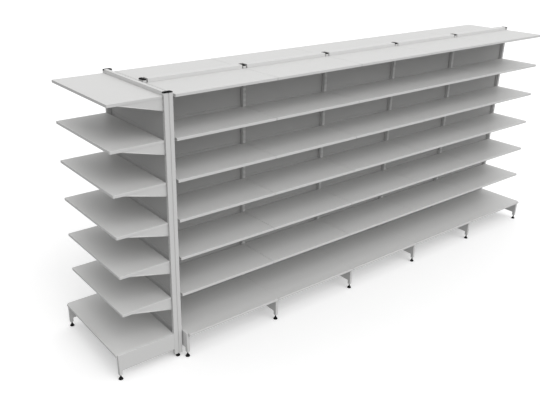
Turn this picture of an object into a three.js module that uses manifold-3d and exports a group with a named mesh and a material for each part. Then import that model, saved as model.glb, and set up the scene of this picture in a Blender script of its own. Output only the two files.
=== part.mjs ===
// Double-sided gondola shelving run with a single-sided end unit across its left end.
// Millimetres. +X runs along the shelving, +Y to its far side, +Z up, floor at z = 0.
import * as THREE from 'three';
import { mergeVertices } from 'three/addons/utils/BufferGeometryUtils.js';
import Module from 'manifold-3d';

const wasm = await Module();
wasm.setup();

// Layout
const bayCount = 5;
const bayPitch = 1010;           // post centre to post centre along the run
const endBayWidth = 1004;        // the same on the end unit
const endUnitGap = 10;           // end unit's posts to the run's first post
const baseShelfTop = 250;
const firstShelfTop = 610;
const shelfPitch = 350;
const shelfCount = 6;            // upper shelves on each side
const postRise = 20;             // post above the top shelf's surface

// Posts and their plastic caps
const postWidth = 30;
const postDepth = 80;
const postWall = 2;
const postBottom = 30;
const postFootPlate = 2.5;       // closes the post's lower end round the foot's stud
const grooveWidth = 12;          // groove down the middle of each wide face
const grooveDepth = 5;
const capHeight = 13;
const capOverhang = 2;
const capEdge = 9;               // rounding of the cap's upper edge
const spigotWidth = 10;
const spigotLength = 64;
const spigotDepth = 20;

// Folded sheet shelves
const sheet = 1.2;
const lipHeight = 24;
const returnFlange = 12;
const rearFlange = 20;
const shelfDepth = 468;
const baseShelfDepth = 564;
const endShelfDepth = 464;
const endBaseShelfDepth = 552;
const rowOverhang = 2;           // run's shelves beyond the centres of the outer posts

// Cantilever brackets, one at each end of each bay's shelf
const bracketPlate = 3;
const bracketOffset = 6.5;       // plate centre from the post's centreline
const bracketHeight = 118;       // at the post, below the shelf's surface
const bracketTip = 23;           // at the front
const bracketKink = 85;          // straight front part, from the shelf's front edge
const bracketSetback = 16;       // plate's tip behind the shelf's front

// Base legs, folded channels
const legInset = 25;             // leg's front face behind the run's base shelf's front
const endLegInset = 13;          // the same on the end unit
const legPlate = 2.5;
const legBeamBottom = 90;
const legFootDepth = 30;
const legFootBottom = 50;
const legFillet = 8;

// Levelling feet
const padRadius = 21;
const padHeight = 26;
const padRim = 5;
const padTopRadius = 9;
const studRadius = 6;
const studLength = 80;           // floor to the stud's top
const studClearance = 0.5;
const footSetback = 17;          // foot's centre behind the leg's front face

// Centre panels and top rails
const panelSheet = 1.2;
const panelBottom = 110;
const railSkirt = 62;
const railSheet = 1.5;
const railTopGap = 1;            // rail's top below the caps' tops
const railEndGap = 10;           // run's rails to the edges of the caps
const endRailDepth = 34;

// Clearances
const fit = 0.3;                 // between pieces that rest on each other
const slack = 1;                 // between a hung piece and what it hangs beside

// Worked out from the sizes above
const shelfTops = Array.from({ length: shelfCount }, (_, i) => firstShelfTop + i * shelfPitch);
const postTop = shelfTops[shelfCount - 1] + postRise;
const capTop = postTop + fit + capHeight;
const railTop = capTop - railTopGap;
const shelfRear = postDepth / 2 + slack;
const shelfReach = shelfRear + shelfDepth;
const baseReach = shelfRear + baseShelfDepth;
const endShelfReach = shelfRear + endShelfDepth;
const endBaseReach = shelfRear + endBaseShelfDepth;
const legReach = baseReach - legInset;
const endLegReach = endBaseReach - endLegInset;
const runLength = bayCount * bayPitch;
const endPostX = -(postWidth / 2 + endUnitGap + postDepth / 2);
const leftmost = endPostX - Math.max(endBaseReach, endShelfReach);
const rightmost = runLength + Math.max(rowOverhang, postWidth / 2 + capOverhang);
const middleX = (leftmost + rightmost) / 2;
const runPosts = Array.from({ length: bayCount + 1 }, (_, i) => i * bayPitch);

const steel = { color: 0xd9dadb, roughness: 0.42, metalness: 0.05 };
const plastic = { color: 0x101113, roughness: 0.45, metalness: 0 };

function solidOf(geometry) {
  geometry.deleteAttribute('normal');
  geometry.deleteAttribute('uv');
  const merged = mergeVertices(geometry, 1e-4);
  const mesh = new wasm.Mesh({
    numProp: 3,
    vertProperties: new Float32Array(merged.attributes.position.array),
    triVerts: new Uint32Array(merged.index.array),
  });
  return new wasm.Manifold(mesh);
}

function geometryOf(solid) {
  const mesh = solid.getMesh();
  const geometry = new THREE.BufferGeometry();
  geometry.setAttribute('position', new THREE.BufferAttribute(new Float32Array(mesh.vertProperties), 3));
  geometry.setIndex(new THREE.BufferAttribute(new Uint32Array(mesh.triVerts), 1));
  geometry.computeVertexNormals();
  return geometry;
}

function box(lowX, highX, lowY, highY, lowZ, highZ) {
  const geometry = new THREE.BoxGeometry(highX - lowX, highY - lowY, highZ - lowZ);
  return geometry.translate((lowX + highX) / 2, (lowY + highY) / 2, (lowZ + highZ) / 2);
}

function outline(points) {
  return new THREE.Shape(points.map(([x, y]) => new THREE.Vector2(x, y)));
}

// A profile drawn in reach and height, extruded along Y from lowY to highY.
function profileAlongY(shape, lowY, highY) {
  const geometry = new THREE.ExtrudeGeometry(shape, {
    depth: highY - lowY, bevelEnabled: false, curveSegments: 4,
  });
  return geometry.rotateX(Math.PI / 2).translate(0, highY, 0);
}

// The post's section, grooved wide faces towards +Y and -Y, inset by the wall for its bore.
function postOutline(inset) {
  const x = postDepth / 2 - inset;
  const y = postWidth / 2 - inset;
  const g = grooveWidth / 2 + inset;
  const d = y - grooveDepth;
  return [
    [-x, -y], [-g, -y], [-g, -d], [g, -d], [g, -y], [x, -y],
    [x, y], [g, y], [g, d], [-g, d], [-g, y], [-x, y],
  ];
}

// A flat plate with an outline in X and Y and one round hole for a foot's stud.
function studPlate(points, holeX, bottom, thickness) {
  const shape = outline(points);
  const hole = new THREE.Path();
  hole.absarc(holeX, 0, studRadius + studClearance, 0, Math.PI * 2, true);
  shape.holes.push(hole);
  const geometry = new THREE.ExtrudeGeometry(shape, {
    depth: thickness, bevelEnabled: false, curveSegments: 6,
  });
  return solidOf(geometry.translate(0, 0, bottom));
}

function postTube() {
  const section = outline(postOutline(0));
  section.holes.push(outline(postOutline(postWall)));
  const geometry = new THREE.ExtrudeGeometry(section, {
    depth: postTop - postBottom, bevelEnabled: false,
  });
  return solidOf(geometry.translate(0, 0, postBottom))
    .add(studPlate(postOutline(0), 0, postBottom, postFootPlate));
}

// One bracket plate, its reach along +X from the post's centre.
function bracketPlateSolid(reach, shelfTop, middleY) {
  const rear = postDepth / 2 + fit;
  const front = reach - bracketSetback;
  const top = shelfTop - sheet / 2;
  const shape = outline([
    [rear, shelfTop - bracketHeight],
    [reach - bracketKink, shelfTop - bracketTip],
    [front, shelfTop - bracketTip],
    [front, top],
    [rear, top],
  ]);
  return solidOf(profileAlongY(shape, middleY - bracketPlate / 2, middleY + bracketPlate / 2));
}

// Base leg: two side plates, a front web, a top web and a foot plate with the stud's hole.
function legSolid(reach) {
  const rear = postDepth / 2 - postWall / 2;
  const top = baseShelfTop - sheet - fit;
  const inner = reach - legFootDepth;
  const half = postWidth / 2;
  const side = new THREE.Shape();
  side.moveTo(rear, legBeamBottom);
  side.lineTo(inner - legFillet, legBeamBottom);
  side.quadraticCurveTo(inner, legBeamBottom, inner, legBeamBottom - legFillet);
  side.lineTo(inner, legFootBottom);
  side.lineTo(reach, legFootBottom);
  side.lineTo(reach, top);
  side.lineTo(rear, top);
  side.closePath();
  const footPlate = [[inner, -half], [reach, -half], [reach, half], [inner, half]];
  return solidOf(profileAlongY(side, -half, -half + legPlate))
    .add(solidOf(profileAlongY(side.clone(), half - legPlate, half)))
    .add(solidOf(box(reach - legPlate, reach, -half, half, legFootBottom, top)))
    .add(solidOf(box(rear, reach, -half, half, top - legPlate, top)))
    .add(studPlate(footPlate, reach - footSetback, legFootBottom, legPlate));
}

function uprightGeometry(reach, legTurns) {
  let upright = postTube();
  for (const turn of legTurns) {
    upright = upright.add(legSolid(reach).rotate([0, 0, turn]));
  }
  return geometryOf(upright);
}

// Bevelled cap on the post's end, with a spigot down into its bore.
function capGeometry() {
  const x = postDepth / 2 + capOverhang - capEdge;
  const y = postWidth / 2 + capOverhang - capEdge;
  const bottom = postTop + fit;
  const body = new THREE.ExtrudeGeometry(outline([[-x, -y], [x, -y], [x, y], [-x, y]]), {
    depth: capHeight,
    bevelThickness: capEdge,
    bevelSize: capEdge,
    bevelSegments: 3,
  });
  const dome = solidOf(body.translate(0, 0, bottom - capEdge));
  const below = box(-postDepth, postDepth, -postDepth, postDepth, bottom - 2 * capEdge, bottom);
  const spigot = box(
    -spigotLength / 2, spigotLength / 2, -spigotWidth / 2, spigotWidth / 2,
    bottom - spigotDepth, bottom + capEdge / 2,
  );
  return geometryOf(dome.subtract(solidOf(below)).add(solidOf(spigot)));
}

function footGeometry() {
  const profile = [
    [0, 0], [padRadius, 0], [padRadius, padRim], [padTopRadius, padHeight],
    [studRadius, padHeight], [studRadius, studLength], [0, studLength],
  ];
  const geometry = new THREE.LatheGeometry(profile.map(([r, z]) => new THREE.Vector2(r, z)), 12);
  return geometryOf(solidOf(geometry.rotateX(Math.PI / 2)));
}

// Folded shelf in reach and height: rear flange, top, front lip and the lip's return.
function shelfSolid(reach, top, lowY, highY) {
  const lipBottom = top - lipHeight;
  const shape = outline([
    [shelfRear, top], [shelfRear, top - rearFlange], [shelfRear + sheet, top - rearFlange],
    [shelfRear + sheet, top - sheet], [reach - sheet, top - sheet],
    [reach - sheet, lipBottom + sheet], [reach - returnFlange, lipBottom + sheet],
    [reach - returnFlange, lipBottom], [reach, lipBottom], [reach, top],
  ]);
  return solidOf(profileAlongY(shape, lowY, highY));
}

// The rear flange is cut away round each leg that the shelf rests on.
function notchedShelf(reach, top, lowY, highY, legPlaces, legHalfWidth) {
  let shelf = shelfSolid(reach, top, lowY, highY);
  const half = legHalfWidth + slack;
  for (const place of legPlaces) {
    shelf = shelf.subtract(solidOf(box(
      shelfRear - slack, shelfRear + 2 * sheet, place - half, place + half,
      top - rearFlange - slack, top - sheet,
    )));
  }
  return geometryOf(shelf);
}

// Upper shelf of a row with a bracket plate at each end of each bay.
function bracketedShelf(reach, top, lowY, highY, platePlaces) {
  let shelf = shelfSolid(reach, top, lowY, highY);
  for (const place of platePlaces) {
    shelf = shelf.add(bracketPlateSolid(reach, top, place));
  }
  return geometryOf(shelf);
}

// Centre panel of one bay with the folded rail along its top.
function panelGeometry() {
  const low = postWidth / 2 + fit;
  const high = bayPitch - low;
  const railEnd = capOverhang + railEndGap;
  const half = postDepth / 2;
  const sides = [-half, half - railSheet].map((y) => (
    solidOf(box(low + railEnd, high - railEnd, y, y + railSheet, railTop - railSkirt, railTop))
  ));
  return geometryOf(
    solidOf(box(low, high, -panelSheet / 2, panelSheet / 2, panelBottom, postTop - slack))
      .add(solidOf(box(low + railEnd, high - railEnd, -panelSheet / 2, panelSheet / 2,
        postTop - 2 * slack, railTop)))
      .add(solidOf(box(low + railEnd, high - railEnd, -half, half, railTop - railSheet, railTop)))
      .add(sides[0])
      .add(sides[1]),
  );
}

const part = new THREE.Group();
part.position.x = -middleX;

function addMesh(parent, name, geometry, finish) {
  const mesh = new THREE.Mesh(geometry, new THREE.MeshStandardMaterial(finish));
  mesh.name = name;
  parent.add(mesh);
  return mesh;
}

// A frame standing at a post or an end bay, turned so that its own +X is the reach.
function placeGroup(x, y, turn) {
  const group = new THREE.Group();
  group.position.set(x, y, 0);
  group.rotation.z = THREE.MathUtils.degToRad(turn);
  part.add(group);
  return group;
}

const nearTurn = -90;
const farTurn = 90;
const endTurn = 180;

// Run: posts with their legs, caps and front feet
runPosts.forEach((x, i) => {
  const number = i + 1;
  const stand = placeGroup(x, 0, farTurn);
  addMesh(stand, `upright_${number}`, uprightGeometry(legReach, [0, 180]), steel);
  addMesh(stand, `cap_${number}`, capGeometry(), plastic);
  for (const [side, sign] of [['near', -1], ['far', 1]]) {
    const foot = addMesh(stand, `foot_${number}_${side}`, footGeometry(), plastic);
    foot.position.x = sign * (legReach - footSetback);
  }
});

// Run: folded shelves, one row for each level and side
const rowLow = -rowOverhang;
const rowHigh = runLength + rowOverhang;
for (const [side, turn, sign] of [['near', nearTurn, 1], ['far', farTurn, -1]]) {
  const row = placeGroup(0, 0, turn);
  const places = runPosts.map((x) => sign * x);
  const ends = [sign * rowLow, sign * rowHigh].sort((a, b) => a - b);
  const legs = postWidth / 2;
  const plates = runPosts.slice(0, bayCount).flatMap((x) => (
    [sign * (x + bracketOffset), sign * (x + bayPitch - bracketOffset)]
  ));
  addMesh(row, `base_shelf_${side}`,
    notchedShelf(baseReach, baseShelfTop, ...ends, places, legs), steel);
  shelfTops.forEach((top, i) => {
    addMesh(row, `shelf_${i + 2}_${side}`,
      bracketedShelf(shelfReach, top, ...ends, plates), steel);
  });
}

// Run: centre panels
runPosts.slice(0, bayCount).forEach((x, i) => {
  const bay = placeGroup(x, 0, 0);
  addMesh(bay, `centre_panel_${i + 1}`, panelGeometry(), steel);
});

// End unit: posts with a leg on one side, caps, feet under the legs and the posts
const endHalf = endBayWidth / 2;
for (const [name, sign] of [['near', -1], ['far', 1]]) {
  const stand = placeGroup(endPostX, sign * endHalf, endTurn);
  addMesh(stand, `end_upright_${name}`, uprightGeometry(endLegReach, [0]), steel);
  addMesh(stand, `end_cap_${name}`, capGeometry(), plastic);
  addMesh(stand, `end_foot_${name}`, footGeometry(), plastic).position.x = endLegReach - footSetback;
  addMesh(stand, `end_post_foot_${name}`, footGeometry(), plastic);
}

// End unit: folded shelves, back panel and header rail
const endFrame = placeGroup(endPostX, 0, endTurn);
const endPlaces = [-endHalf, endHalf];
const endPlates = [bracketOffset - endHalf, endHalf - bracketOffset];
addMesh(endFrame, 'end_base_shelf',
  notchedShelf(endBaseReach, baseShelfTop, ...endPlaces, endPlaces, postWidth / 2), steel);
shelfTops.forEach((top, i) => {
  addMesh(endFrame, `end_shelf_${i + 2}`,
    bracketedShelf(endShelfReach, top, ...endPlaces, endPlates), steel);
});
const endPanelHalf = endHalf - postWidth / 2 - fit;
addMesh(endFrame, 'end_panel',
  box(-panelSheet / 2, panelSheet / 2, -endPanelHalf, endPanelHalf, panelBottom, postTop), steel);
const railHalf = endPanelHalf - capOverhang - fit;
const railFront = postDepth / 2;
addMesh(endFrame, 'end_rail', geometryOf(
  solidOf(box(railFront - endRailDepth, railFront, -railHalf, railHalf, railTop - railSkirt, railTop))
    .subtract(solidOf(box(railFront - endRailDepth + railSheet, railFront - railSheet,
      -railHalf - slack, railHalf + slack, railTop - railSkirt - slack, railTop - railSheet))),
), steel);

export default part;
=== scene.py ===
import math

import bmesh
import bpy
from mathutils import Matrix, Vector


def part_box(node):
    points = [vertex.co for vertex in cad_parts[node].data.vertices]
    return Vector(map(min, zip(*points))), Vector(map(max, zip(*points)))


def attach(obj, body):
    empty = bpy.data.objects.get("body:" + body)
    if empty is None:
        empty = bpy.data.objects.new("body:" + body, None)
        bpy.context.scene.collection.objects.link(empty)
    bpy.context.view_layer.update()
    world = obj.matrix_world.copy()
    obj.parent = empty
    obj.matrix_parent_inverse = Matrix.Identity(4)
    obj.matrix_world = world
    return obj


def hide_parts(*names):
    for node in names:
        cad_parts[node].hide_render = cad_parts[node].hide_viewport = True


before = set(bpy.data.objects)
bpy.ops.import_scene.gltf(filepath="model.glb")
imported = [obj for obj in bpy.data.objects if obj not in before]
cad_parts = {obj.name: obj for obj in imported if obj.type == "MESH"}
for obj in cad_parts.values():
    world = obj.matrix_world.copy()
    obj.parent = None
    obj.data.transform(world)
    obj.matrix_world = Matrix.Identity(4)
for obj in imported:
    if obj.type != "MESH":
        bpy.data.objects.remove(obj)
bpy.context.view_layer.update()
print("frame loaded:", len(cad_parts), "parts")


# Where things stand, all read from the frame
def middle(node):
    low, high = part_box(node)
    return (low + high) / 2


bayCount = 5
runX = [middle(f"cap_{i + 1}").x for i in range(bayCount + 1)]
bayPitch = (runX[-1] - runX[0]) / bayCount
endPost = middle("end_cap_far")
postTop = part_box("upright_1")[1].z
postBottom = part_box("upright_1")[0].z
shelfTops = [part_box(f"shelf_{level}_near")[1].z for level in range(2, 8)]
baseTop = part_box("base_shelf_near")[1].z
shelfRear = -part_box("base_shelf_near")[1].y
shelfFront = -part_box("shelf_2_near")[0].y
baseFront = -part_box("base_shelf_near")[0].y
endFront = endPost.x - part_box("end_shelf_2")[0].x
endBaseFront = endPost.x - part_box("end_base_shelf")[0].x
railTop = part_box("centre_panel_1")[1].z
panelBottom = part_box("centre_panel_1")[0].z
footPlaces = {name: middle(name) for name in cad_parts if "foot" in name}

# Reach along local +X, width along local Y, turned to each side of the run
nearSide = Matrix.Rotation(math.radians(-90), 4, "Z")
farSide = Matrix.Rotation(math.radians(90), 4, "Z")
endSide = Matrix.Translation((endPost.x, 0, 0)) @ Matrix.Rotation(math.radians(180), 4, "Z")
sides = {"near": (nearSide, runX[0]), "far": (farSide, -runX[-1])}


restGap = 0.0003                                # between pieces that rest on each other
studHole = {"radius": 0.0066, "rise": 0.0004}   # in the plates that a foot's stud passes through


# Camera, above and beyond the end unit's near corner
camera = {"place": (-4.7556, -4.7755, 3.5723), "turn": 52.609, "down": 23.245, "roll": 0.517,
          "lens": 44.14, "shiftX": 0.0394, "shiftY": 0.0047}


def makeCamera():
    turn, down = math.radians(camera["turn"]), math.radians(camera["down"])
    ahead = Vector((math.cos(turn) * math.cos(down), math.sin(turn) * math.cos(down), -math.sin(down)))
    right = Vector((math.sin(turn), -math.cos(turn), 0))
    above = right.cross(ahead)
    roll = Matrix.Rotation(math.radians(-camera["roll"]), 3, ahead)
    right, above = roll @ right, roll @ above
    data = bpy.data.cameras.new("camera")
    data.lens = camera["lens"]
    data.shift_x, data.shift_y = camera["shiftX"], camera["shiftY"]
    data.clip_end = 200
    holder = bpy.data.objects.new("camera", data)
    bpy.context.scene.collection.objects.link(holder)
    holder.matrix_world = Matrix((
        (right.x, above.x, -ahead.x, camera["place"][0]),
        (right.y, above.y, -ahead.y, camera["place"][1]),
        (right.z, above.z, -ahead.z, camera["place"][2]),
        (0, 0, 0, 1),
    ))
    bpy.context.scene.camera = holder


makeCamera()
print("camera placed")


# Shader groups shared by the finishes
def newGroup(name, inputs, outputs):
    tree = bpy.data.node_groups.new(name, "ShaderNodeTree")
    for label, kind, value in inputs:
        socket = tree.interface.new_socket(name=label, in_out="INPUT", socket_type=kind)
        socket.default_value = value
    for label, kind in outputs:
        tree.interface.new_socket(name=label, in_out="OUTPUT", socket_type=kind)
    return tree, tree.nodes.new("NodeGroupInput"), tree.nodes.new("NodeGroupOutput")


def mathNode(tree, operation, first, second=None, third=None):
    node = tree.nodes.new("ShaderNodeMath")
    node.operation = operation
    for slot, value in enumerate((first, second, third)):
        if value is None:
            continue
        if isinstance(value, (int, float)):
            node.inputs[slot].default_value = value
        else:
            tree.links.new(value, node.inputs[slot])
    return node.outputs[0]


def noiseNode(tree, vector, scale, detail=2.0, rough=0.5):
    node = tree.nodes.new("ShaderNodeTexNoise")
    tree.links.new(vector, node.inputs["Vector"])
    if isinstance(scale, (int, float)):
        node.inputs["Scale"].default_value = scale
    else:
        tree.links.new(scale, node.inputs["Scale"])
    node.inputs["Detail"].default_value = detail
    node.inputs["Roughness"].default_value = rough
    return node.outputs["Fac"]


def rangeNode(tree, value, fromLow, fromHigh, toLow, toHigh):
    node = tree.nodes.new("ShaderNodeMapRange")
    node.interpolation_type = "SMOOTHSTEP"
    tree.links.new(value, node.inputs["Value"])
    for label, number in (("From Min", fromLow), ("From Max", fromHigh), ("To Min", toLow), ("To Max", toHigh)):
        node.inputs[label].default_value = number
    return node.outputs["Result"]


# Fine pebbling of a baked powder coat or a moulded skin
def makeGrainGroup():
    tree, given, result = newGroup(
        "surfaceGrain",
        [("Scale", "NodeSocketFloat", 900.0), ("Depth", "NodeSocketFloat", 1.0)],
        [("Height", "NodeSocketFloat"), ("Gloss", "NodeSocketFloat")],
    )
    place = tree.nodes.new("ShaderNodeTexCoord").outputs["Object"]
    pebbles = noiseNode(tree, place, given.outputs["Scale"], 1.5, 0.45)
    speck = noiseNode(tree, place, mathNode(tree, "MULTIPLY", given.outputs["Scale"], 2.7), 0.0)
    both = mathNode(tree, "MULTIPLY_ADD", speck, 0.25, pebbles)
    tree.links.new(mathNode(tree, "MULTIPLY", both, given.outputs["Depth"]), result.inputs["Height"])
    tree.links.new(rangeNode(tree, pebbles, 0.3, 0.7, -1.0, 1.0), result.inputs["Gloss"])
    return tree


# Slow drift in shade from one stretch of a sheet to the next
def makeDriftGroup():
    tree, given, result = newGroup(
        "shadeDrift",
        [("Scale", "NodeSocketFloat", 1.3), ("Amount", "NodeSocketFloat", 0.03)],
        [("Shade", "NodeSocketFloat"), ("Cloud", "NodeSocketFloat")],
    )
    place = tree.nodes.new("ShaderNodeTexCoord").outputs["Object"]
    cloud = noiseNode(tree, place, given.outputs["Scale"], 4.0, 0.55)
    centred = mathNode(tree, "SUBTRACT", cloud, 0.5)
    shade = mathNode(tree, "MULTIPLY_ADD", centred, given.outputs["Amount"], 1.0)
    tree.links.new(shade, result.inputs["Shade"])
    tree.links.new(cloud, result.inputs["Cloud"])
    return tree


# Rubbed paint on the folds, from the fold mark that every sheet carries; the same mask also sets where the
# folds get a painted highlight
def makeWearGroup():
    tree, given, result = newGroup(
        "foldWearAndHighlight",
        [("Scale", "NodeSocketFloat", 60.0), ("Reach", "NodeSocketFloat", 0.5)],
        [("RubAndHighlight", "NodeSocketFloat"), ("Chip", "NodeSocketFloat")],
    )
    place = tree.nodes.new("ShaderNodeTexCoord").outputs["Object"]
    mark = tree.nodes.new("ShaderNodeAttribute")
    mark.attribute_name = "fold"
    patches = noiseNode(tree, place, given.outputs["Scale"], 3.0, 0.6)
    rubAndHighlight = mathNode(tree, "MULTIPLY", rangeNode(tree, patches, 0.35, 0.75, 0.0, 1.0), mark.outputs["Fac"])
    tree.links.new(mathNode(tree, "MULTIPLY", rubAndHighlight, given.outputs["Reach"]), result.inputs["RubAndHighlight"])
    flecks = noiseNode(tree, place, mathNode(tree, "MULTIPLY", given.outputs["Scale"], 6.0), 2.0, 0.7)
    chip = mathNode(tree, "MULTIPLY", rangeNode(tree, flecks, 0.70, 0.76, 0.0, 1.0), rubAndHighlight)
    tree.links.new(chip, result.inputs["Chip"])
    return tree


# Dust that settles on faces turned upwards
def makeDustGroup():
    tree, given, result = newGroup(
        "settledDust",
        [("Scale", "NodeSocketFloat", 14.0), ("Amount", "NodeSocketFloat", 0.2)],
        [("Dust", "NodeSocketFloat")],
    )
    place = tree.nodes.new("ShaderNodeTexCoord").outputs["Object"]
    apart = tree.nodes.new("ShaderNodeSeparateXYZ")
    tree.links.new(tree.nodes.new("ShaderNodeNewGeometry").outputs["Normal"], apart.inputs[0])
    upward = rangeNode(tree, apart.outputs["Z"], 0.75, 1.0, 0.0, 1.0)
    film = rangeNode(tree, noiseNode(tree, place, given.outputs["Scale"], 5.0, 0.65), 0.35, 0.75, 0.3, 1.0)
    tree.links.new(
        mathNode(tree, "MULTIPLY", mathNode(tree, "MULTIPLY", upward, film), given.outputs["Amount"]),
        result.inputs["Dust"],
    )
    return tree


surfaceGrain = makeGrainGroup()
shadeDrift = makeDriftGroup()
foldWearAndHighlight = makeWearGroup()
settledDust = makeDustGroup()


def placeGroup(tree, group, **values):
    node = tree.nodes.new("ShaderNodeGroup")
    node.node_tree = group
    for label, value in values.items():
        node.inputs[label].default_value = value
    return node


def mixColour(tree, share, first, second):
    node = tree.nodes.new("ShaderNodeMix")
    node.data_type = "RGBA"
    tree.links.new(share, node.inputs["Factor"])
    for socket, value in ((node.inputs["A"], first), (node.inputs["B"], second)):
        if isinstance(value, tuple):
            socket.default_value = (*value, 1)
        else:
            tree.links.new(value, socket)
    return node.outputs["Result"]


def bumpNode(tree, height, strength, distance):
    node = tree.nodes.new("ShaderNodeBump")
    node.inputs["Strength"].default_value = strength
    node.inputs["Distance"].default_value = distance
    tree.links.new(height, node.inputs["Height"])
    return node.outputs["Normal"]


def newMaterial(name):
    material = bpy.data.materials.new(name)
    material.use_nodes = True
    return material, material.node_tree, material.node_tree.nodes["Principled BSDF"]


# Light grey powder coat, in one shade for each kind of piece
paint = {
    "post": {"colour": (0.63, 0.63, 0.625), "rough": 0.40, "drift": 0.03, "wearAndHighlight": 0.35, "dust": 0.05},
    "shelf": {"colour": (0.63, 0.63, 0.625), "rough": 0.44, "drift": 0.04, "wearAndHighlight": 0.45, "dust": 0.14},
    "panel": {"colour": (0.43, 0.43, 0.427), "rough": 0.46, "drift": 0.04, "wearAndHighlight": 0.30, "dust": 0.08},
}
# The fold tint paints the folds lighter: partly rubbed paint, partly a painted highlight along the fold edges
coat = {"grain": 850.0, "driftScale": 1.4, "wearScale": 70.0, "dustScale": 11.0, "rubbedAndHighlit": 1.15,
        "primer": (0.30, 0.30, 0.30), "dustTint": (0.66, 0.65, 0.635), "glossSpread": 0.03,
        "rubPolish": -0.10, "dustDull": 0.5, "bump": 0.25, "bumpDepth": 0.00012, "specular": 0.35}


def makePaint(kind):
    values = paint[kind]
    material, tree, shader = newMaterial(f"{kind}Powder")
    grain = placeGroup(tree, surfaceGrain, Scale=coat["grain"], Depth=1.0)
    drift = placeGroup(tree, shadeDrift, Scale=coat["driftScale"], Amount=values["drift"])
    wearAndHighlight = placeGroup(tree, foldWearAndHighlight, Scale=coat["wearScale"], Reach=values["wearAndHighlight"])
    dust = placeGroup(tree, settledDust, Scale=coat["dustScale"], Amount=values["dust"])
    shaded = tree.nodes.new("ShaderNodeVectorMath")
    shaded.operation = "SCALE"
    shaded.inputs[0].default_value = values["colour"]
    tree.links.new(drift.outputs["Shade"], shaded.inputs["Scale"])
    # Folds painted lighter: rubbed paint plus a painted highlight on the fold edges
    rubAndHighlightTint = tuple(c * coat["rubbedAndHighlit"] for c in values["colour"])
    rubbedAndHighlit = mixColour(tree, wearAndHighlight.outputs["RubAndHighlight"], shaded.outputs[0], rubAndHighlightTint)
    chipped = mixColour(tree, wearAndHighlight.outputs["Chip"], rubbedAndHighlit, coat["primer"])
    dusty = mixColour(tree, dust.outputs["Dust"], chipped, coat["dustTint"])
    tree.links.new(dusty, shader.inputs["Base Color"])
    polish = mathNode(tree, "MULTIPLY_ADD", grain.outputs["Gloss"], coat["glossSpread"], values["rough"])
    worn = mathNode(tree, "MULTIPLY_ADD", wearAndHighlight.outputs["RubAndHighlight"], coat["rubPolish"], polish)
    dulled = mathNode(tree, "MULTIPLY_ADD", dust.outputs["Dust"], coat["dustDull"], worn)
    tree.links.new(dulled, shader.inputs["Roughness"])
    pebbled = bumpNode(tree, grain.outputs["Height"], coat["bump"], coat["bumpDepth"])
    tree.links.new(pebbled, shader.inputs["Normal"])
    shader.inputs["Specular IOR Level"].default_value = coat["specular"]
    return material


# Black moulded plastic of the caps and feet
plastic = {"colour": (0.004, 0.004, 0.0045), "rough": 0.58, "grain": 1600.0, "drift": 0.5, "dust": 0.012,
           "dustTint": (0.3, 0.3, 0.29), "bump": 0.35, "bumpDepth": 0.00015, "specular": 0.12}


def makePlastic():
    material, tree, shader = newMaterial("blackMoulding")
    grain = placeGroup(tree, surfaceGrain, Scale=plastic["grain"], Depth=1.0)
    drift = placeGroup(tree, shadeDrift, Scale=40.0, Amount=plastic["drift"])
    dust = placeGroup(tree, settledDust, Scale=60.0, Amount=plastic["dust"])
    shaded = tree.nodes.new("ShaderNodeVectorMath")
    shaded.operation = "SCALE"
    shaded.inputs[0].default_value = plastic["colour"]
    tree.links.new(drift.outputs["Shade"], shaded.inputs["Scale"])
    tree.links.new(mixColour(tree, dust.outputs["Dust"], shaded.outputs[0], plastic["dustTint"]),
                   shader.inputs["Base Color"])
    tree.links.new(mathNode(tree, "MULTIPLY_ADD", grain.outputs["Gloss"], 0.05, plastic["rough"]),
                   shader.inputs["Roughness"])
    pebbled = bumpNode(tree, grain.outputs["Height"], plastic["bump"], plastic["bumpDepth"])
    tree.links.new(pebbled, shader.inputs["Normal"])
    shader.inputs["Specular IOR Level"].default_value = plastic["specular"]
    return material


# Blackened steel of the studs and nuts
blackening = {"light": (0.045, 0.045, 0.050), "dark": (0.018, 0.018, 0.020), "rough": 0.42}


def makeBlackenedSteel():
    material, tree, shader = newMaterial("blackenedSteel")
    drift = placeGroup(tree, shadeDrift, Scale=90.0, Amount=1.0)
    grain = placeGroup(tree, surfaceGrain, Scale=2400.0, Depth=1.0)
    tree.links.new(mixColour(tree, drift.outputs["Cloud"], blackening["light"], blackening["dark"]),
                   shader.inputs["Base Color"])
    shader.inputs["Metallic"].default_value = 1.0
    tree.links.new(mathNode(tree, "MULTIPLY_ADD", grain.outputs["Gloss"], 0.06, blackening["rough"]),
                   shader.inputs["Roughness"])
    tree.links.new(bumpNode(tree, grain.outputs["Height"], 0.2, 0.00008), shader.inputs["Normal"])
    return material


postPowder = makePaint("post")
shelfPowder = makePaint("shelf")
panelPowder = makePaint("panel")
blackMoulding = makePlastic()
blackenedSteel = makeBlackenedSteel()
print("finishes mixed")


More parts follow.
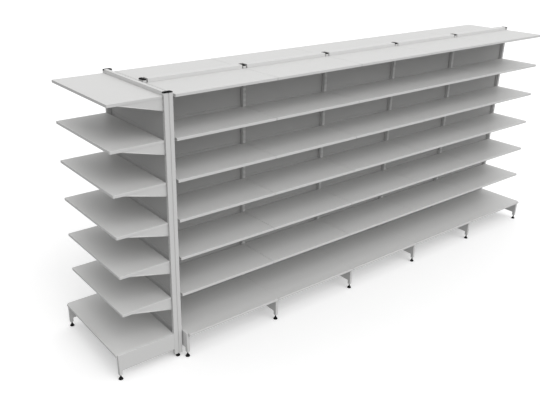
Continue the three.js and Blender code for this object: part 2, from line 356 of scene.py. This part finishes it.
# Geometry Nodes tree that sets a piece out in a row, and the rows one above another
def makeRepeatTree():
    tree = bpy.data.node_groups.new("rowsAndLevels", "GeometryNodeTree")
    tree.is_modifier = True
    for label, kind in (
        ("Geometry", "NodeSocketGeometry"), ("Count", "NodeSocketInt"), ("Step", "NodeSocketVector"),
        ("Levels", "NodeSocketInt"), ("Rise", "NodeSocketVector"), ("Weld", "NodeSocketFloat"),
        ("Finish", "NodeSocketMaterial"),
    ):
        tree.interface.new_socket(name=label, in_out="INPUT", socket_type=kind)
    tree.interface.new_socket(name="Geometry", in_out="OUTPUT", socket_type="NodeSocketGeometry")
    given, result = tree.nodes.new("NodeGroupInput"), tree.nodes.new("NodeGroupOutput")

    def spread(geometry, count, step):
        line = tree.nodes.new("GeometryNodeMeshLine")
        line.mode = "OFFSET"
        tree.links.new(given.outputs[count], line.inputs["Count"])
        tree.links.new(given.outputs[step], line.inputs["Offset"])
        copies = tree.nodes.new("GeometryNodeInstanceOnPoints")
        tree.links.new(line.outputs["Mesh"], copies.inputs["Points"])
        tree.links.new(geometry, copies.inputs["Instance"])
        return copies.outputs["Instances"]

    level = spread(given.outputs["Geometry"], "Count", "Step")
    stack = spread(level, "Levels", "Rise")
    real = tree.nodes.new("GeometryNodeRealizeInstances")
    weld = tree.nodes.new("GeometryNodeMergeByDistance")
    finish = tree.nodes.new("GeometryNodeSetMaterial")
    tree.links.new(stack, real.inputs["Geometry"])
    tree.links.new(real.outputs["Geometry"], weld.inputs["Geometry"])
    tree.links.new(given.outputs["Weld"], weld.inputs["Distance"])
    tree.links.new(weld.outputs["Geometry"], finish.inputs["Geometry"])
    tree.links.new(given.outputs["Finish"], finish.inputs["Material"])
    tree.links.new(finish.outputs["Geometry"], result.inputs["Geometry"])
    return tree


rowsAndLevels = makeRepeatTree()


def repeatPiece(piece, finish, count=1, step=(0, 0, 0), levels=1, rise=(0, 0, 0), weld=1e-6):
    modifier = piece.modifiers.new("rowsAndLevels", "NODES")
    modifier.node_group = rowsAndLevels
    values = {"Count": count, "Step": step, "Levels": levels, "Rise": rise, "Weld": weld, "Finish": finish}
    for item in rowsAndLevels.interface.items_tree:
        if item.in_out == "INPUT" and item.name in values:
            modifier[item.identifier] = values[item.name]


# A mesh object from a bmesh; folds are smooth and flat sheet stays flat
def pieceFrom(shape, name, finish=None, smooth=False):
    mesh = bpy.data.meshes.new(name)
    fold = shape.faces.layers.float.get("fold")
    for face in shape.faces:
        face.smooth = smooth or bool(fold and face[fold] > 0.5)
    shape.to_mesh(mesh)
    shape.free()
    piece = bpy.data.objects.new(name, mesh)
    bpy.context.scene.collection.objects.link(piece)
    if finish:
        mesh.materials.append(finish)
    return piece


def thicken(piece, thickness):
    modifier = piece.modifiers.new("wall", "SOLIDIFY")
    modifier.thickness = thickness
    modifier.offset = -1
    modifier.use_even_offset = True


# Applies the modifiers, then turns the mesh to its side of the shelving
def settle(piece, place=None):
    bpy.context.view_layer.update()
    graph = bpy.context.evaluated_depsgraph_get()
    mesh = bpy.data.meshes.new_from_object(
        piece.evaluated_get(graph), preserve_all_data_layers=True, depsgraph=graph)
    mesh.name = piece.name
    old = piece.data
    piece.modifiers.clear()
    piece.data = mesh
    bpy.data.meshes.remove(old)
    if place:
        mesh.transform(place)
        mesh.update()
    return piece


def hand(piece, nodes, body="frame"):
    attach(piece, body)
    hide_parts(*nodes)


# Bends of a sheet: every edge sharper than the angle gets a rounded, marked fold
def foldEdges(shape, radius, segments=3, angle=35):
    layer = shape.faces.layers.float.get("fold") or shape.faces.layers.float.new("fold")
    shape.normal_update()
    edges = [e for e in shape.edges if len(e.link_faces) == 2 and e.calc_face_angle(0) > math.radians(angle)]
    flat = set(shape.faces)
    made = bmesh.ops.bevel(shape, geom=edges, offset=radius, segments=segments, profile=0.5,
                           affect="EDGES", clamp_overlap=True)
    for face in made["faces"]:
        if face.is_valid and face not in flat:
            face[layer] = 1.0


def polygon(shape, points):
    return shape.faces.new([shape.verts.new(p) for p in points])


# Shelf: a pan of folded sheet, its front lip with a return
shelf = {"sheet": 0.0012, "lip": 0.024, "side": 0.020, "rear": 0.020, "return": 0.012,
         "radius": 0.0022, "seam": 0.0035}


def shelfPan(rear, front, low, high, top):
    shape = bmesh.new()
    corners = [(rear, low), (front, low), (front, high), (rear, high)]
    drops = [shelf["rear"], shelf["lip"], shelf["lip"], shelf["rear"]]
    upper = [shape.verts.new((x, y, top)) for x, y in corners]
    lower = [shape.verts.new((x, y, top - drop)) for (x, y), drop in zip(corners, drops)]
    shape.faces.new(upper)
    for i in range(4):
        j = (i + 1) % 4
        shape.faces.new((upper[i], lower[i], lower[j], upper[j]))
    inset = shelf["return"]
    tuck = [shape.verts.new((front - inset, y, top - shelf["lip"])) for y in (low + inset, high - inset)]
    shape.faces.new((lower[1], tuck[0], tuck[1], lower[2]))
    bmesh.ops.recalc_face_normals(shape, faces=shape.faces)
    if max(shape.faces, key=lambda f: f.calc_area()).normal.z < 0:
        bmesh.ops.reverse_faces(shape, faces=shape.faces)
    foldEdges(shape, shelf["radius"])
    return shape


def addShelfRow(name, node, place, rear, front, top, start, width, count):
    half = shelf["seam"] / 2
    row = pieceFrom(shelfPan(rear, front, start + half, start + width - half, top), name)
    thicken(row, shelf["sheet"])
    repeatPiece(row, shelfPowder, count, (0, bayPitch, 0))
    settle(row, place)
    hand(row, [node])


# Cantilever bracket: a plate with a folded lower edge and hooks for the post's slots
bracket = {"plate": 0.003, "offset": 0.0065, "height": 0.118, "tip": 0.023, "kink": 0.085, "setback": 0.016,
           "flange": 0.0044, "endFlange": 0.0075, "joggle": 0.020, "step": 0.0015,
           "hookRear": 0.0330, "hookNeck": 0.0365, "hookDrop": 0.010,
           "hooks": (0.004, 0.050, 0.100), "hookHeight": 0.011, "faceX": 0.0403,
           "lap": 0.0015, "lift": 0.001}


# Closed bar along a line of points in the X-Z plane, its section given as (across Y, up Z) pairs
def sweepBar(shape, line, section, layer):
    rings = [[shape.verts.new((x, y, z + up)) for y, up in section] for x, z in line]
    count = len(section)
    faces = [shape.faces.new(rings[0]), shape.faces.new(list(reversed(rings[-1])))]
    for lower, upper in zip(rings, rings[1:]):
        for i in range(count):
            j = (i + 1) % count
            face = shape.faces.new((lower[i], lower[j], upper[j], upper[i]))
            face[layer] = 1.0
            faces.append(face)
    return faces


def plateShell(shape, points, middle):
    half = bracket["plate"] / 2
    faces = [polygon(shape, [(x, middle + side * half, z) for x, z in points]) for side in (-1, 1)]
    one, two = [list(face.verts) for face in faces]
    for i in range(len(one)):
        j = (i + 1) % len(one)
        faces.append(shape.faces.new((one[i], one[j], two[j], two[i])))
    return faces


def bracketShape(shape, front, top, middle, outward, flange):
    b = bracket
    half = b["plate"] / 2
    roof = top - shelf["sheet"] - restGap
    lower = [(b["faceX"], top - b["height"]), (front - b["kink"], top - b["tip"]),
             (front - b["setback"], top - b["tip"])]
    slope = (lower[1][1] - lower[0][1]) / (lower[1][0] - lower[0][0])
    bend = (b["faceX"] + b["joggle"], lower[0][1] + slope * b["joggle"])
    outer = [bend, *lower[1:], (lower[2][0], roof), (bend[0], roof)]
    inner = [(bend[0] + b["lap"], roof), (b["faceX"], roof)]
    for down in b["hooks"]:
        neckTop = top - down
        neckLow = neckTop - b["hookHeight"]
        inner += [(b["faceX"], neckTop), (b["hookRear"], neckTop), (b["hookRear"], neckLow - b["hookDrop"]),
                  (b["hookNeck"], neckLow - b["hookDrop"]), (b["hookNeck"], neckLow), (b["faceX"], neckLow)]
    inner += [(x, z + b["lift"]) for x, z in (lower[0], bend)]
    inner.append((bend[0] + b["lap"], bend[1] + b["lift"]))
    layer = shape.faces.layers.float["fold"]
    faces = plateShell(shape, [(x, z + b["lift"] if z < roof else z) for x, z in outer], middle)
    faces += plateShell(shape, inner, middle - outward * b["step"])
    outside, edge = half + 0.0001, half + flange
    across = [(outside, 0.0056), (outside, 0.0028), (half + 0.0008, 0.0016), (edge - 0.0006, 0.0016),
              (edge, 0.0026), (edge + 0.0004, 0.0010), (edge, -0.0002), (half * 0.4, -0.0002),
              (-half * 0.5, 0.0008), (-outside, 0.0026), (-outside, 0.0056)]
    faces += sweepBar(shape, lower, [(middle + outward * y, up) for y, up in across], layer)
    bmesh.ops.recalc_face_normals(shape, faces=faces)


def addBracketRow(name, node, place, front, top, starts, ends, count, flange):
    shape = bmesh.new()
    shape.faces.layers.float.new("fold")
    for along, outward in ((starts + bracket["offset"], -1), (ends - bracket["offset"], 1)):
        bracketShape(shape, front, top, along, outward, flange)
    row = pieceFrom(shape, name)
    repeatPiece(row, shelfPowder, count, (0, bayPitch, 0))
    settle(row, place)
    hand(row, [node])


for side, (place, start) in sides.items():
    addShelfRow(f"base_shelves_{side}", f"base_shelf_{side}", place, shelfRear, baseFront, baseTop,
                start, bayPitch, bayCount)
    for level, top in enumerate(shelfTops, 2):
        node = f"shelf_{level}_{side}"
        addShelfRow(f"shelves_{level}_{side}", node, place, shelfRear, shelfFront, top,
                    start, bayPitch, bayCount)
        addBracketRow(f"brackets_{level}_{side}", node, place, shelfFront, top,
                      start, start + bayPitch, bayCount, bracket["flange"])
endLow, endHigh = -endPost.y, endPost.y
endWidth = endHigh - endLow
addShelfRow("end_base_sheet", "end_base_shelf", endSide, shelfRear, endBaseFront, baseTop,
            endLow, endWidth, 1)
for level, top in enumerate(shelfTops, 2):
    node = f"end_shelf_{level}"
    addShelfRow(f"end_sheet_{level}", node, endSide, shelfRear, endFront, top, endLow, endWidth, 1)
    addBracketRow(f"end_brackets_{level}", node, endSide, endFront, top,
                  endLow, endHigh, 1, bracket["endFlange"])
print("shelves and brackets hung:", (bayCount * 2 + 1) * 7, "shelves")


# Post: a grooved tube, slotted every 50 mm down both narrow faces
post = {"depth": 0.080, "width": 0.030, "wall": 0.002, "corner": 0.0028, "groove": 0.012, "grooveDepth": 0.005,
        "slotStep": 0.050, "slotLow": 0.0085, "slotHigh": 0.0415, "slotWidth": 0.004, "slotOffset": 0.0065,
        "plainEnd": 0.040, "plateX": 0.97, "plateY": 0.93}


def arc(centre, radius, start, turn, steps):
    return [(centre[0] + radius * math.cos(math.radians(start + turn * i / steps)),
             centre[1] + radius * math.sin(math.radians(start + turn * i / steps))) for i in range(steps + 1)]


# Section points anticlockwise, with the slots' edges on the narrow faces
def postSection():
    x, y, r = post["depth"] / 2, post["width"] / 2, post["corner"]
    g, d, o, s = post["groove"] / 2, post["grooveDepth"], post["slotOffset"], post["slotWidth"] / 2
    quarter = []
    for cx, cy, start in ((x - r, -y + r, -90), (x - r, y - r, 0)):
        quarter.append(arc((cx, cy), r, start, 90, 3))
    right = [(x, t) for t in (-o - s, -o + s, o - s, o + s)]
    groove = [(g, y), (g - 0.0006, y - 0.0012), (g - 0.0008, y - d), (-g + 0.0008, y - d),
              (-g + 0.0006, y - 0.0012), (-g, y)]
    half = quarter[0] + right + quarter[1] + groove
    return half + [(-px, -py) for px, py in half], len(quarter[0])


def postShape():
    section, first = postSection()
    total = len(section)
    gaps = {(first + 0) % total, (first + 2) % total}
    gaps |= {(i + total // 2) % total for i in gaps}
    shape = bmesh.new()
    layer = shape.faces.layers.float.new("fold")
    levels = (0, post["slotLow"], post["slotHigh"], post["slotStep"])
    rings = [[shape.verts.new((x, y, z)) for x, y in section] for z in levels]
    corners = set(range(0, 3)) | {first + 4 + i for i in range(0, 3)}
    corners |= {(i + total // 2) % total for i in corners}
    for row in range(3):
        for i in range(total):
            if row == 1 and i in gaps:
                continue
            j = (i + 1) % total
            face = shape.faces.new((rings[row][i], rings[row][j], rings[row + 1][j], rings[row + 1][i]))
            face[layer] = 1.0 if i in corners else 0.0
    return shape


def footPlate(shape, points, holeX, bottom):
    z, radius = bottom + studHole["rise"], studHole["radius"]
    outer = [shape.verts.new((x, y, z)) for x, y in points]
    inner = [shape.verts.new((holeX + radius * math.cos(t), radius * math.sin(t), z))
             for t in (2 * math.pi * i / 16 for i in range(16))]
    edges = []
    for loop in (outer, inner):
        edges += [shape.edges.new((loop[i], loop[(i + 1) % len(loop)])) for i in range(len(loop))]
    made = bmesh.ops.triangle_fill(shape, edges=edges, use_beauty=True)
    for face in made["geom"]:
        if isinstance(face, bmesh.types.BMFace):
            face.normal_update()
            if face.normal.z > 0:
                face.normal_flip()


def makePostMesh():
    stack = pieceFrom(postShape(), "postStack")
    first = postBottom + post["plainEnd"]
    tiles = int((postTop - first) / post["slotStep"])
    last = first + tiles * post["slotStep"]
    repeatPiece(stack, postPowder, 1, (0, 0, 0), tiles, (0, 0, post["slotStep"]), 1e-5)
    settle(stack, Matrix.Translation((0, 0, first)))
    shape = bmesh.new()
    shape.from_mesh(stack.data)
    for level, end in ((first, postBottom), (last, postTop)):
        rim = [e for e in shape.edges if e.is_boundary and all(abs(v.co.z - level) < 1e-4 for v in e.verts)]
        for v in bmesh.ops.extrude_edge_only(shape, edges=rim)["geom"]:
            if isinstance(v, bmesh.types.BMVert):
                v.co.z = end
    section, _ = postSection()
    shrink = [(x * post["plateX"], y * post["plateY"]) for x, y in section]
    footPlate(shape, shrink, 0, postBottom)
    bmesh.ops.recalc_face_normals(shape, faces=[f for f in shape.faces if abs(f.normal.z) < 0.5])
    shape.to_mesh(stack.data)
    shape.free()
    thicken(stack, post["wall"])
    settle(stack)
    mesh = stack.data
    bpy.data.objects.remove(stack)
    return mesh


postMesh = makePostMesh()
postPlaces = {f"post_{i + 1}": (f"upright_{i + 1}", Matrix.Translation((x, 0, 0)) @ farSide)
              for i, x in enumerate(runX)}
for side, sign in (("near", -1), ("far", 1)):
    postPlaces[f"end_post_{side}"] = (f"end_upright_{side}",
                                      endSide @ Matrix.Translation((0, -sign * endPost.y, 0)))
for name, (node, place) in postPlaces.items():
    mesh = postMesh.copy()
    mesh.name = name
    mesh.transform(place)
    piece = bpy.data.objects.new(name, mesh)
    bpy.context.scene.collection.objects.link(piece)
    hand(piece, [node])
bpy.data.meshes.remove(postMesh)
print("posts raised:", len(postPlaces))


# Base leg: a folded channel set against the post, with a foot column at its front
leg = {"reach": 0.580, "beamBottom": 0.090, "footDepth": 0.030, "footBottom": 0.050, "fillet": 0.008,
       "plate": 0.0025, "radius": 0.003, "width": 0.030, "rear": 0.0405, "setback": 0.017,
       "plateRear": 0.001, "plateEdge": 0.003}


def legShape():
    top = baseTop - shelf["sheet"] - restGap
    inner = leg["reach"] - leg["footDepth"]
    curve = arc((inner - leg["fillet"], leg["beamBottom"] - leg["fillet"]), leg["fillet"], 90, -90, 6)
    edge = [(leg["rear"], leg["beamBottom"]), *curve, (inner, leg["footBottom"]),
            (leg["reach"], leg["footBottom"]), (leg["reach"], top), (leg["rear"], top)]
    half = leg["width"] / 2
    shape = bmesh.new()
    near = polygon(shape, [(x, -half, z) for x, z in edge])
    far = polygon(shape, [(x, half, z) for x, z in edge])
    a, b = list(near.verts), list(far.verts)
    count = len(edge)
    for i in (count - 3, count - 2):
        shape.faces.new((a[i], a[i + 1], b[i + 1], b[i]))
    bmesh.ops.recalc_face_normals(shape, faces=shape.faces)
    front = max(shape.faces, key=lambda f: abs(f.normal.x))
    if front.normal.x < 0:
        bmesh.ops.reverse_faces(shape, faces=shape.faces)
    foldEdges(shape, leg["radius"], 3, 60)
    plateRear, plateFront = inner + leg["plateRear"], leg["reach"] - leg["plateEdge"]
    plateHalf = half - leg["plateEdge"]
    ends = [(plateRear, -plateHalf), (plateFront, -plateHalf), (plateFront, plateHalf), (plateRear, plateHalf)]
    footPlate(shape, ends, leg["reach"] - leg["setback"], leg["footBottom"])
    return shape


# Hexagon nut with chamfered corners, on the foot plate inside a leg
nut = {"flat": 0.0095, "height": 0.0065, "chamfer": 0.0012, "bore": 0.0064, "seat": 0.0006}


def nutShape(shape, x, y, low):
    r = nut["flat"] / math.cos(math.pi / 6)
    rings = []
    for radius, z, sides6 in ((nut["bore"], 0, 0), (r - nut["chamfer"], 0, 1), (r, nut["chamfer"], 1),
                              (r, nut["height"] - nut["chamfer"], 1), (r - nut["chamfer"], nut["height"], 1),
                              (nut["bore"], nut["height"], 0)):
        ring = []
        for i in range(12):
            t = math.pi * i / 6
            reach = radius if sides6 == 0 or i % 2 == 0 else radius * math.cos(math.pi / 6)
            ring.append(shape.verts.new((x + reach * math.cos(t), y + reach * math.sin(t), low + z)))
        rings.append(ring)
    for k in range(len(rings)):
        lower, upper = rings[k], rings[(k + 1) % len(rings)]
        for i in range(12):
            j = (i + 1) % 12
            shape.faces.new((lower[i], lower[j], upper[j], upper[i]))


def makeLegs():
    template = pieceFrom(legShape(), "legTemplate", postPowder)
    thicken(template, leg["plate"])
    settle(template)
    mesh = template.data
    bpy.data.objects.remove(template)
    stands = []
    for i, x in enumerate(runX):
        for side, turn in (("near", nearSide), ("far", farSide)):
            stands.append((f"leg_{i + 1}_{side}", f"upright_{i + 1}", Matrix.Translation((x, 0, 0)) @ turn))
    for side, sign in (("near", -1), ("far", 1)):
        stands.append((f"end_leg_{side}", f"end_upright_{side}",
                       endSide @ Matrix.Translation((0, -sign * endPost.y, 0))))
    nuts = bmesh.new()
    for name, node, place in stands:
        copy = mesh.copy()
        copy.name = name
        copy.transform(place)
        piece = bpy.data.objects.new(name, copy)
        bpy.context.scene.collection.objects.link(piece)
        hand(piece, [node])
        spot = place @ Vector((leg["reach"] - leg["setback"], 0, 0))
        nutShape(nuts, spot.x, spot.y, leg["footBottom"] + leg["plate"] + nut["seat"])
    bmesh.ops.recalc_face_normals(nuts, faces=nuts.faces)
    piece = pieceFrom(nuts, "foot_nuts", blackenedSteel)
    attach(piece, "frame")
    bpy.data.meshes.remove(mesh)
    return len(stands)


print("legs fixed:", makeLegs())


# Levelling foot: a cone-shaped pad with a short collar, and a threaded stud
pad = {"radius": 0.021, "rim": 0.0040, "height": 0.026, "collar": 0.0085, "steps": 40}
stud = {"radius": 0.0060, "root": 0.0051, "pitch": 0.00175, "top": 0.080, "steps": 16}


def padShape(x, y):
    r, c, rim, high = pad["radius"], pad["collar"], pad["rim"], pad["height"]
    profile = [(0, 0), (r * 0.86, 0), (r * 0.95, 0.0008), (r, 0.0024), (r, rim), (r * 0.97, rim + 0.0016)]
    for i in range(1, 7):
        t = i / 7
        profile.append((r * 0.97 + (c - r * 0.97) * t, rim + 0.0016 + (high - rim - 0.0056) * t ** 0.85))
    profile += [(c, high - 0.004), (c, high - 0.0008), (c - 0.0008, high), (0, high)]
    shape = bmesh.new()
    rings = []
    for radius, z in profile:
        if radius == 0:
            rings.append([shape.verts.new((x, y, z))])
            continue
        rings.append([shape.verts.new((x + radius * math.cos(t), y + radius * math.sin(t), z))
                      for t in (2 * math.pi * i / pad["steps"] for i in range(pad["steps"]))])
    for lower, upper in zip(rings, rings[1:]):
        count = pad["steps"]
        for i in range(count):
            j = (i + 1) % count
            if len(lower) == 1:
                shape.faces.new((lower[0], upper[j], upper[i]))
            elif len(upper) == 1:
                shape.faces.new((lower[i], lower[j], upper[0]))
            else:
                shape.faces.new((lower[i], lower[j], upper[j], upper[i]))
    return shape


# The thread is one helix of crest and root running up the stud
def studShape(x, y, low):
    shape = bmesh.new()
    steps = stud["steps"]
    turns = int((stud["top"] - low) / stud["pitch"]) - 1
    rows = []
    for k in range(turns * steps + 1):
        t = 2 * math.pi * k / steps
        lift = low + stud["pitch"] * k / steps
        rows.append([shape.verts.new((x + r * math.cos(t), y + r * math.sin(t), lift + up))
                     for r, up in ((stud["root"], 0), (stud["radius"], stud["pitch"] * 0.42),
                                   (stud["radius"], stud["pitch"] * 0.58))])
    for k in range(turns * steps):
        here, there = rows[k], rows[k + 1]
        for i in range(2):
            shape.faces.new((here[i], there[i], there[i + 1], here[i + 1]))
        if k + steps < len(rows) - 1:
            shape.faces.new((here[2], there[2], rows[k + 1 + steps][0], rows[k + steps][0]))
    bmesh.ops.remove_doubles(shape, verts=shape.verts, dist=1e-6)
    for z, sign in ((low, -1), (low + stud["pitch"] * (turns + 0.6), 1)):
        rim = [shape.verts.new((x + stud["root"] * math.cos(t), y + stud["root"] * math.sin(t), z))
               for t in (2 * math.pi * i / steps for i in range(steps))]
        tip = [shape.verts.new((v.co.x, v.co.y, z - sign * stud["pitch"] * 1.5)) for v in rim]
        cap = shape.faces.new(rim)
        cap.normal_update()
        if cap.normal.z * sign < 0:
            cap.normal_flip()
        for i in range(steps):
            j = (i + 1) % steps
            shape.faces.new((rim[i], rim[j], tip[j], tip[i]))
    bmesh.ops.recalc_face_normals(shape, faces=shape.faces)
    return shape


def addFoot(name, x, y, body, nodes):
    padPiece = pieceFrom(padShape(x, y), f"{name}_pad", blackMoulding, smooth=True)
    padPiece.data.set_sharp_from_angle(angle=math.radians(50))
    studPiece = pieceFrom(studShape(x, y, pad["height"] - 0.001), f"{name}_stud", blackenedSteel)
    for piece in (padPiece, studPiece):
        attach(piece, body)
        if nodes:
            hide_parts(*nodes)


for name, spot in footPlaces.items():
    addFoot(name, spot.x, spot.y, f"{name}_body", [name])
for i, x in enumerate(runX):
    addFoot(f"post_foot_{i + 1}", x, 0, "frame", [])
print("feet fitted:", len(footPlaces) + len(runX))


# Post cap: a thin-edged lid that rises in a dome
cap = {"overhang": 0.002, "height": 0.013, "side": 0.0032, "corner": 0.009,
       "chamfer": 0.0010, "edge": 0.0008, "arc": 84, "fullness": 0.9, "rings": 9}


def capRing(share, inset, z, shape):
    x = (post["depth"] / 2 + cap["overhang"] - inset) * share
    y = (post["width"] / 2 + cap["overhang"] - inset) * share
    r = min(cap["corner"] * share, y * 0.95)
    points = []
    for cx, cy, start in ((x - r, -y + r, -90), (x - r, y - r, 0), (-x + r, y - r, 90), (-x + r, -y + r, 180)):
        points += arc((cx, cy), r, start, 90, 5)
    return [shape.verts.new((px, py, z)) for px, py in points]


def capShape(low):
    shape = bmesh.new()
    rise = cap["height"] - cap["side"]
    last = math.radians(cap["arc"])
    rings = [capRing(1, cap["chamfer"], low, shape), capRing(1, 0, low + cap["edge"], shape)]
    for i in range(cap["rings"]):
        t = last * i / (cap["rings"] - 1)
        z = low + cap["side"] + rise * math.sin(t) / math.sin(last)
        rings.append(capRing(math.cos(t) ** cap["fullness"], 0, z, shape))
    for lower, upper in zip(rings, rings[1:]):
        for i in range(len(lower)):
            j = (i + 1) % len(lower)
            shape.faces.new((lower[i], lower[j], upper[j], upper[i]))
    shape.faces.new(rings[-1])
    shape.faces.new(list(reversed(rings[0])))
    bmesh.ops.recalc_face_normals(shape, faces=shape.faces)
    return shape


capMesh = pieceFrom(capShape(postTop + restGap), "capTemplate", blackMoulding, smooth=True)
for name, (node, place) in postPlaces.items():
    mesh = capMesh.data.copy()
    mesh.set_sharp_from_angle(angle=math.radians(45))
    mesh.transform(place)
    piece = bpy.data.objects.new(name.replace("post", "post_lid"), mesh)
    mesh.name = piece.name
    bpy.context.scene.collection.objects.link(piece)
    hand(piece, [node.replace("upright", "cap")])
bpy.data.objects.remove(capMesh)
print("caps pressed on:", len(postPlaces))


# Centre panels: strips of sheet, one above another, each a shelf step high
panel = {"thick": 0.0050, "radius": 0.0018, "gap": 0.0010, "side": 0.0156,
         "seamRise": 0.010, "topGap": 0.001}


def plateShape(lowX, highX, y, thick, lowZ, highZ, radius):
    shape = bmesh.new()
    bmesh.ops.create_cube(shape, size=1)
    bmesh.ops.scale(shape, vec=(highX - lowX, thick, highZ - lowZ), verts=shape.verts)
    bmesh.ops.translate(shape, vec=((lowX + highX) / 2, y, (lowZ + highZ) / 2), verts=shape.verts)
    foldEdges(shape, radius, 2)
    return shape


# One bay's strips, filled upwards between the seams
def stripStack(name, low, high, seams):
    strips = bmesh.new()
    strips.faces.layers.float.new("fold")
    inset = panel["gap"] / 2
    for lowZ, highZ in zip(seams, seams[1:]):
        strip = plateShape(low, high, 0, panel["thick"], lowZ + inset, highZ - inset, panel["radius"])
        mesh = bpy.data.meshes.new("strip")
        strip.to_mesh(mesh)
        strip.free()
        strips.from_mesh(mesh)
        bpy.data.meshes.remove(mesh)
    return pieceFrom(strips, name, panelPowder)


def addPanels():
    seams = [z + panel["seamRise"] for z in (baseTop, *shelfTops[:-1])]
    seams = [panelBottom, *seams, postTop - panel["topGap"]]
    for bay in range(bayCount):
        low, high = runX[bay] + panel["side"], runX[bay + 1] - panel["side"]
        piece = stripStack(f"back_panels_{bay + 1}", low, high, seams)
        hand(piece, [f"centre_panel_{bay + 1}"])
    half = endPost.y - panel["side"]
    piece = stripStack("end_back_panels", -half, half, seams)
    piece.data.transform(Matrix.Translation((endPost.x, 0, 0)) @ farSide)
    hand(piece, ["end_panel"])


addPanels()
print("panels slid in")


# Top rails: folded channels that run from cap to cap
rail = {"sheet": 0.0015, "skirt": 0.062, "radius": 0.0028, "runEnd": 0.0273, "endEnd": 0.0173,
        "endDepth": 0.034}


def channelShape(lowX, highX, lowY, highY, top, skirt):
    shape = bmesh.new()
    points = [(lowY, top - skirt), (lowY, top), (highY, top), (highY, top - skirt)]
    rows = [[shape.verts.new((x, y, z)) for y, z in points] for x in (lowX, highX)]
    for i in range(3):
        shape.faces.new((rows[0][i], rows[0][i + 1], rows[1][i + 1], rows[1][i]))
    for row in rows:
        shape.faces.new(row)    # folded tabs that close the ends
    bmesh.ops.recalc_face_normals(shape, faces=shape.faces)
    shape.normal_update()
    if max(shape.faces, key=lambda f: abs(f.normal.z)).normal.z < 0:
        bmesh.ops.reverse_faces(shape, faces=shape.faces)
    foldEdges(shape, rail["radius"])
    return shape


half = post["depth"] / 2
for bay in range(bayCount):
    piece = pieceFrom(channelShape(runX[bay] + rail["runEnd"], runX[bay + 1] - rail["runEnd"], -half, half,
                                   railTop, rail["skirt"]), f"top_rail_{bay + 1}", postPowder)
    thicken(piece, rail["sheet"])
    settle(piece)
    hand(piece, [f"centre_panel_{bay + 1}"])
endHalf = endPost.y - rail["endEnd"]
piece = pieceFrom(channelShape(-endHalf, endHalf, half - rail["endDepth"], half, railTop, rail["skirt"]),
                  "end_header_rail", postPowder)
thicken(piece, rail["sheet"])
settle(piece, Matrix.Translation((endPost.x, 0, 0)) @ farSide)
hand(piece, ["end_rail"])
print("rails laid")


# Floor and light of a plain studio
studio = {"floor": (0.85, 0.85, 0.85), "half": 60, "glow": 0.25, "slant": 0.2, "sky": 0.87, "ground": 0.38,
          "keyStrength": 1.02, "keyAngle": 45, "keyFrom": (0.02, -1.0, 0.95)}


def makeStudio():
    shape = bmesh.new()
    far = studio["half"]
    polygon(shape, [(-far, -far, 0), (far, -far, 0), (far, far, 0), (-far, far, 0)])
    material, tree, shader = newMaterial("studioFloor")
    drift = placeGroup(tree, shadeDrift, Scale=0.4, Amount=0.01)
    shaded = tree.nodes.new("ShaderNodeVectorMath")
    shaded.operation = "SCALE"
    shaded.inputs[0].default_value = studio["floor"]
    tree.links.new(drift.outputs["Shade"], shaded.inputs["Scale"])
    tree.links.new(shaded.outputs[0], shader.inputs["Base Color"])
    shader.inputs["Roughness"].default_value = 0.9
    shader.inputs["Specular IOR Level"].default_value = 0.0
    shader.inputs["Emission Color"].default_value = (1, 1, 1, 1)
    shader.inputs["Emission Strength"].default_value = studio["glow"]
    floor = pieceFrom(shape, "floor", material)
    floor.visible_diffuse = False
    floor.visible_glossy = False
    world = bpy.data.worlds.new("studioSky")
    bpy.context.scene.world = world
    world.use_nodes = True
    tree = world.node_tree
    sky = tree.nodes["Background"]
    apart = tree.nodes.new("ShaderNodeSeparateXYZ")
    tree.links.new(tree.nodes.new("ShaderNodeTexCoord").outputs["Generated"], apart.inputs[0])
    bright = rangeNode(tree, apart.outputs["Z"], -0.05, 0.05, studio["ground"], studio["sky"])
    slant = mathNode(tree, "MULTIPLY_ADD", apart.outputs["X"], studio["slant"], 1.0)
    lit = mathNode(tree, "MULTIPLY", bright, slant)
    seen = tree.nodes.new("ShaderNodeLightPath").outputs["Is Camera Ray"]
    tree.links.new(mathNode(tree, "MAXIMUM", lit, seen), sky.inputs["Strength"])
    sky.inputs["Color"].default_value = (1, 1, 1, 1)
    key = bpy.data.lights.new("key", "SUN")
    key.energy = studio["keyStrength"]
    key.angle = math.radians(studio["keyAngle"])
    lamp = bpy.data.objects.new("key", key)
    bpy.context.scene.collection.objects.link(lamp)
    lamp.rotation_mode = "QUATERNION"
    lamp.rotation_quaternion = Vector(studio["keyFrom"]).to_track_quat("Z", "Y")
    bpy.context.scene.view_settings.view_transform = "Standard"


makeStudio()
print("studio lit")
